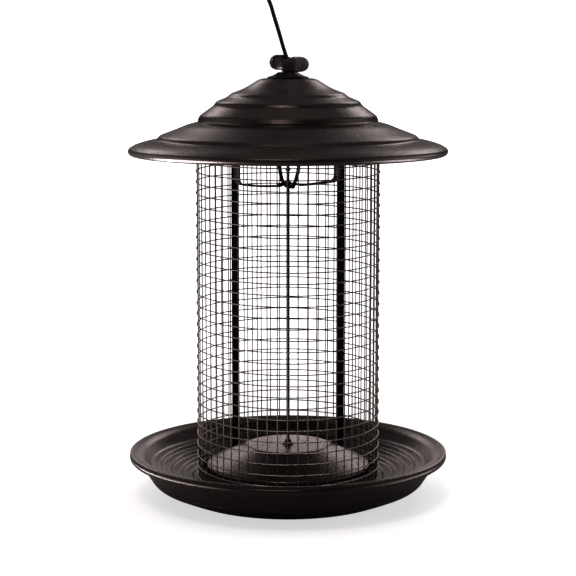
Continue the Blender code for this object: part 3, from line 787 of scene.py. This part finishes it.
def make_uprights():
    """The two flat uprights at the back, with rounded edges and domed rivets at both ends."""
    for side, angle in (("left", -UPRIGHT_ANGLE), ("right", UPRIGHT_ANGLE)):
        low, high = node_box("upright_" + side)
        bm = bmesh.new()
        bmesh.ops.create_cube(bm, size=1.0)
        bmesh.ops.scale(bm, vec=(UPRIGHT_WIDTH, UPRIGHT_THICKNESS, high.z - low.z), verts=bm.verts)
        place = Matrix.Translation(radial(angle, UPRIGHT_RADIUS, (low.z + high.z) / 2))
        place @= Matrix.Rotation(-angle, 4, "Z")
        bmesh.ops.transform(bm, matrix=place, verts=bm.verts)
        bar = add_piece(f"upright_bar_{side}", bm, UPRIGHT_COAT_PAINTED_SHADE, FEEDER, [f"upright_{side}"])
        round_edges(bar, 0.0004)
        for level in ("bottom", "top"):
            make_rivet(level, side, angle)


def make_rivet(level, side, angle):
    """A domed rivet head on the inner face of an upright."""
    name = f"rivet_{level}_{side}"
    low, high = node_box(name)
    z = (low.z + high.z) / 2
    head = [
        (0.0023 * math.cos(math.radians(a)), 0.0009 * math.sin(math.radians(a))) for a in range(0, 91, 15)
    ]
    bm = bmesh.new()
    profile = [(0.0012, -0.0021), (0.0012, 0.0), *head[:-1]]
    skin(bm, [circle(bm, r, height, 32) for r, height in profile], capped=True)
    inwards = -radial(angle, 1.0, 0.0)
    under_head = radial(angle, UPRIGHT_RADIUS - UPRIGHT_THICKNESS / 2 - 0.0001, z)
    place = Matrix.Translation(under_head) @ inwards.to_track_quat("Z", "Y").to_matrix().to_4x4()
    bmesh.ops.transform(bm, matrix=place, verts=bm.verts)
    add_piece(name + "_domed", bm, PLATING, FEEDER, [name], sharp=50)


# ---------------------------------------------------------------- rod and fasteners


THREAD_PITCH = 0.0005
THREAD_DEPTH = 0.00022
THREAD_FADE = 0.001  # where the thread runs out into the plain rod
THREAD_STEP = 0.0001
CHAMFER = 0.0002
BORE_GAP = 0.0001  # between the rod and what is threaded on it


def thread_depth(z, turn, spans):
    """How deep the thread is at a height and angle, with plain rod outside the spans."""
    for low, high in spans:
        if low < z < high:
            fade = min((z - low) / THREAD_FADE, (high - z) / THREAD_FADE, 1.0)
            phase = (z / THREAD_PITCH - turn / math.tau) % 1.0
            return abs(phase - 0.5) * 2 * THREAD_DEPTH * fade
    return 0.0


def screw(name, radius, low, high, spans, material, body, replaces, bore=0.0, around=24):
    """A rod or a hollow stem with threaded stretches."""
    bm = bmesh.new()
    z = low + CHAMFER
    heights = [z]
    while z < high - CHAMFER:
        threaded = any(a - THREAD_FADE < z < b for a, b in spans)
        z = min(z + (THREAD_STEP if threaded else 0.004), high - CHAMFER)
        heights.append(z)
    rings = []
    for z in [low, *heights, high]:
        chamfer = CHAMFER if z in (low, high) else 0.0
        rings.append([])
        for k in range(around):
            a = math.tau * k / around
            r = radius - thread_depth(z, a, spans) - chamfer
            rings[-1].append(bm.verts.new((r * math.cos(a), r * math.sin(a), z)))
    if bore:
        inside = [circle(bm, bore, z, around) for z in (high, low)]
        skin(bm, [*rings, *inside, rings[0]])
    else:
        skin(bm, rings, capped=True)
    return add_piece(name, bm, material, body, replaces, sharp=50)


def make_rod():
    """The rod, threaded where its three nuts sit."""
    spans = [
        (ROD_LOW_Z + 0.0004, 0.0135), (DEFLECTOR_TOP_Z, DEFLECTOR_TOP_Z + 0.009),
        (0.2560, ROD_HIGH_Z - 0.0004),
    ]
    screw(
        "tie_rod_threaded", ROD_RADIUS, ROD_LOW_Z, ROD_HIGH_Z, spans,
        ROD_COAT_PAINTED_SHADE, FEEDER, ["tie_rod"],
    )


def make_nut(node):
    """A hexagonal nut with turned-down corners, in the box of its CAD node."""
    low, high = node_box(node)
    flat = (high.x - low.x) / 2 * math.cos(math.pi / 6)
    face, bore, around = flat * 0.97, ROD_RADIUS + BORE_GAP, 72
    bm = bmesh.new()

    def hexagon(z, inwards):
        """A ring along the six flats, which drops towards the nut's middle at its corners."""
        ring = []
        for k in range(around):
            a = math.tau * k / around
            r = flat / math.cos((a + math.pi / 6) % (math.pi / 3) - math.pi / 6)
            drop = (r - face) * 0.5
            ring.append(bm.verts.new((r * math.cos(a), r * math.sin(a), z + drop * inwards)))
        return ring

    rings = [
        circle(bm, bore, low.z, around), circle(bm, face, low.z, around), hexagon(low.z, 1),
        hexagon(high.z, -1), circle(bm, face, high.z, around), circle(bm, bore, high.z, around),
    ]
    skin(bm, rings + rings[:1])
    add_piece(node + "_hex", bm, PLATING, FEEDER, [node], sharp=25)


def ring_section(inner, outer, low, high, edges):
    """The closed outline of a flat ring, starting and ending inside its bore."""
    middle = (low + high) / 2
    inside_low, outside_low, outside_high, inside_high = edges
    return rounded((
        (inner, middle), (inner, low, inside_low), (outer, low, outside_low),
        (outer, high, outside_high), (inner, high, inside_high), (inner, middle + 1e-4),
    ), steps=3)


def make_ring(node):
    """A washer, spacer or collar with rounded edges, in the box of its CAD node."""
    low, high = node_box(node)
    outline = ring_section(ROD_RADIUS + BORE_GAP, high.x, low.z, high.z, (0.00025,) * 4)
    turned(node + "_turned", outline, PLATING, FEEDER, [node], around=72)


def make_fasteners():
    """The nuts, washers, spacers and collar on the rod."""
    for node in ("bottom_nut", "deflector_nut", "rod_top_nut"):
        make_nut(node)
    for node in ("bottom_washer", "deflector_washer", "dish_spacer", "deflector_spacer", "crossbar_collar"):
        make_ring(node)


# ---------------------------------------------------------------- crossbar and ropes


def crossbar_line():
    """The middle of the strap as (along, up), from one end to the other."""
    z, ear = CROSSBAR_Z, CROSSBAR_EAR
    flange = node_box("crossbar")[1].z - CROSSBAR_THICKNESS / 2
    right = rounded((
        (0.0, z + CROSSBAR_SADDLE), (0.0055, z + CROSSBAR_SADDLE, 0.0015),
        (0.0085, z + 0.0001, 0.0015), (0.0250, z + 0.0006, 0.004),
        (ear, z + 0.0026, 0.006), (ear, flange, 0.005), (CROSSBAR_REACH, flange),
    ), steps=10)
    return [Vector((-p.x, p.y)) for p in right[:0:-1]] + right


def make_crossbar():
    """The pressed strap, with soft edges and a low rib pressed along it."""
    line = crossbar_line()
    shares = (-0.5, -0.46, -0.28, -0.16, 0.0, 0.16, 0.28, 0.46, 0.5)
    rise = (-0.0003, 0.0, 0.0, 0.0003, 0.0004, 0.0003, 0.0, 0.0, -0.0003)
    upper, lower = side_of(line, CROSSBAR_THICKNESS / 2), side_of(line, -CROSSBAR_THICKNESS / 2)
    bm = bmesh.new()
    rows = []
    for top, bottom in zip(upper, lower):
        up = (top - bottom).normalized()
        over = [top + up * r for r in rise]
        under = [bottom + up * (r if abs(s) < 0.5 else 0.0003) for s, r in zip(shares, rise)]
        row = [across_bar(p.x, s * CROSSBAR_WIDTH, p.y) for s, p in zip(shares, over)]
        row += [across_bar(p.x, s * CROSSBAR_WIDTH, p.y) for s, p in reversed(list(zip(shares, under)))]
        rows.append([bm.verts.new(p) for p in row])
    skin(bm, rows, capped=True)
    add_piece("crossbar_strap", bm, STRAP_COAT, FEEDER, ["crossbar"], sharp=50)


def oval(radius, steps=12):
    """An oval round two strands, as (along the pair, across it)."""
    ends = []
    for middle, start in ((STRAND_SPACING / 2, -90), (-STRAND_SPACING / 2, 90)):
        for k in range(steps + 1):
            a = math.radians(start + 180 * k / steps)
            ends.append((middle + radius * math.cos(a), radius * math.sin(a)))
    return ends


def ferrule(name, start, direction, length, side, body, node):
    """An oval crimp sleeve with rounded ends and three crimp grooves."""
    start, direction, side = Vector(start), Vector(direction).normalized(), Vector(side).normalized()
    depth = direction.cross(side)
    bore = ROPE_RADIUS + 0.0002
    sections = [(0.0, bore)]
    count = 48
    for k in range(count + 1):
        t = k / count
        groove = sum(math.exp(-(((t - at) / 0.05) ** 2)) for at in (0.25, 0.5, 0.75)) * 0.00028
        edge = 0.0004 * max(0.0, 1 - min(t, 1 - t) / 0.05) ** 2
        sections.append((t, bore + 0.0011 - groove - edge))
    sections.append((1.0, bore))
    bm = bmesh.new()
    rings = [
        [bm.verts.new(start + direction * (t * length) + side * u + depth * v) for u, v in oval(radius)]
        for t, radius in sections
    ]
    skin(bm, rings + rings[:1])
    return add_piece(name, bm, PLATING, body, [node], sharp=50)


def loop_point(along, across):
    """A point of the end loop."""
    side = Vector((ROPE_LEAN.z, 0.0, -ROPE_LEAN.x))
    return FERRULE_START + ROPE_LEAN * along + side * across


def make_hanging_rope():
    """The free rope out of the clamp, with a crimped loop just above the view."""
    route = [Vector((x, 0.0, z)) for x, z in ROPE_ROUTE]
    route += [loop_point(*p) for p in LOOP_ROUTE]
    points = smooth_line(route, 0.0009)
    bm = bmesh.new()
    twisted_rope(bm, points)
    rope = add_piece("hanging_rope_twisted", bm, ROPE_FINISH, ROOF_BODY, ["hanging_rope"], sharp=60)
    side = Vector((ROPE_LEAN.z, 0.0, -ROPE_LEAN.x))
    sleeve = ferrule("end_sleeve", FERRULE_START, ROPE_LEAN, FERRULE_LENGTH, side, ROOF_BODY, "end_ferrule")


def make_eye():
    """The rope's eye under the crossbar, its sleeve, and the strand up into the stem."""
    bm = bmesh.new()
    twisted_rope(bm, smooth_line([across_bar(*p) for p in EYE_ROUTE], 0.0009))
    add_piece("rope_eye_twisted", bm, ROPE_FINISH, FEEDER, ["rope_eye"], sharp=60)
    low, high = EYE_FERRULE_Z
    ferrule("eye_sleeve", (0, 0, low), (0, 0, 1), high - low, across_bar(0, 1, 0), FEEDER, "eye_ferrule")
    start, end = node_box("inner_rope")[0].z, node_box("inner_rope")[1].z
    bm = bmesh.new()
    twisted_rope(bm, smooth_line([(0, 0, start), (0, 0, (start + end) / 2), (0, 0, end)], 0.0006))
    strand = add_piece("inner_rope_twisted", bm, ROPE_FINISH, None, ["inner_rope"], sharp=60)
    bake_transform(strand)


# ---------------------------------------------------------------- clamp and wing nut


def make_clamp():
    """The threaded stem with its flange, and the cone on the crown of the roof."""
    low, high = node_box("clamp_stem")
    flange_top = low.z + 0.0016
    screw(
        "clamp_stem_threaded", STEM_RADIUS, flange_top, high.z, [(0.3400, high.z - 0.0004)],
        PLATING, ROOF_BODY, ["clamp_stem"], bore=STEM_BORE, around=48,
    )
    disc = ring_section(STEM_BORE, high.x, low.z, flange_top, (0.0003, 0.0004, 0.0004, 0.0003))
    turned("clamp_flange", disc, PLATING, ROOF_BODY, around=72)
    seat = node_box("clamp_cone")[0].z
    bore = STEM_RADIUS + 0.0002
    cone = rounded((
        (bore, seat + 0.001), (bore, seat, 0.0002), (0.0164, seat, 0.0003), (0.0166, seat + 0.0006, 0.0004),
        (0.0118, seat + 0.0020, 0.003), (0.0090, HUB_TOP_Z - 0.0008, 0.0012),
        (0.0080, HUB_TOP_Z, 0.0006), (bore, HUB_TOP_Z, 0.0002), (bore, seat + 0.0012),
    ), steps=5)
    turned("clamp_cone_turned", cone, CONE_COAT_PAINTED_SHADE, ROOF_BODY, ["clamp_cone"], around=96)


def wing_plan(reach):
    """The middle of one wing seen from above: across the hub's front and out to its tip."""
    return smooth_line([
        Vector((x * reach, y, 0)) for x, y in (
            (-0.0034, -0.0036), (0.0000, -0.0050), (0.0040, -0.0059), (0.0080, -0.0062),
            (0.0115, -0.0056), (0.0140, -0.0040), (0.0152, -0.0020),
        )
    ], 0.0005)


def wing_edges(share, lift):
    """(lowest, highest) height of a wing, by its share of the way from root to tip."""
    low, high = HUB_TOP_Z + 0.0009 + lift, WING_TOP_Z + lift
    middle, half = (low + high) / 2, (high - low) / 2
    if share > 0.58:
        t = (share - 0.58) / 0.42
        tip = max(math.sqrt(max(0.0, 1 - t**2.3)), 0.12)
        return middle - half * tip, middle + half * tip
    if share < 0.40:
        t = (0.40 - share) / 0.40
        return low, high - 0.0026 * t
    return low, high


def wing(bm, turn, reach, lift):
    """One wing: a sheet that is thick and hollowed like a spoon where the thumb presses."""
    plan = wing_plan(reach)
    rows, count = [], 20
    spin = Matrix.Rotation(turn, 3, "Z")
    for k, (point, (along, _, _)) in enumerate(zip(plan, frames_along(plan))):
        outwards = Vector((along.y, -along.x, 0))
        share = k / (len(plan) - 1)
        low, high = wing_edges(share, lift)
        pad = min(max((share - 0.36) / 0.04, 0.0), 1.0)
        row = []
        for face in (-1, 1):
            order = range(count + 1) if face < 0 else range(count, -1, -1)
            for j in order:
                v = j / count
                inside = pad * min(1.0, 5 * min(v, 1 - v)) * min(1.0, 5 * (1 - share))
                half = 0.0007 + (0.0006 * pad if face > 0 else 0.0004 * pad - 0.0007 * inside)
                half *= 0.55 if j in (0, count) else 1.0
                belly = 0.0006 * math.sin(math.pi * v)
                row.append(bm.verts.new(spin @ (
                    point + outwards * (face * half + belly) + Vector((0, 0, low + (high - low) * v))
                )))
        rows.append(row)
    skin(bm, rows, capped=True)


def make_wing_nut():
    """The wing nut: two curled wings melted into a round hub with a plain bore."""
    low = node_box("wing_nut")[0].z
    bm = bmesh.new()
    wing(bm, 0.0, 1.0, -0.0007)
    wing(bm, math.pi, 0.87, 0.0007)
    hub = rounded((
        (0.0034, low + 0.003), (0.0034, low, 0.0003), (0.0054, low, 0.0006), (0.0046, low + 0.0030, 0.001),
        (0.0044, low + 0.0098, 0.0006), (0.0034, low + 0.0096, 0.0004), (0.0034, low + 0.0032),
    ), steps=3)
    lathe(bm, hub, 64)
    nut = add_piece("wing_nut_pressed", bm, NUT_COAT_PAINTED_SHADE_AND_SHEEN, NUT_BODY, ["wing_nut"], sharp=180)
    melt = nut.modifiers.new("melt", "REMESH")
    melt.mode = "VOXEL"
    melt.voxel_size = 0.0002
    melt.use_smooth_shade = True
    soften = nut.modifiers.new("soften", "SMOOTH")
    soften.factor = 0.5
    soften.iterations = 6


def main():
    make_camera()
    make_hanging_rope()
    make_eye()
    make_roof()
    make_clamp()
    make_wing_nut()
    make_dish()
    make_pan()
    make_deflector()
    make_cage()
    make_bands()
    make_uprights()
    make_rod()
    make_fasteners()
    make_crossbar()
    make_studio()


main()
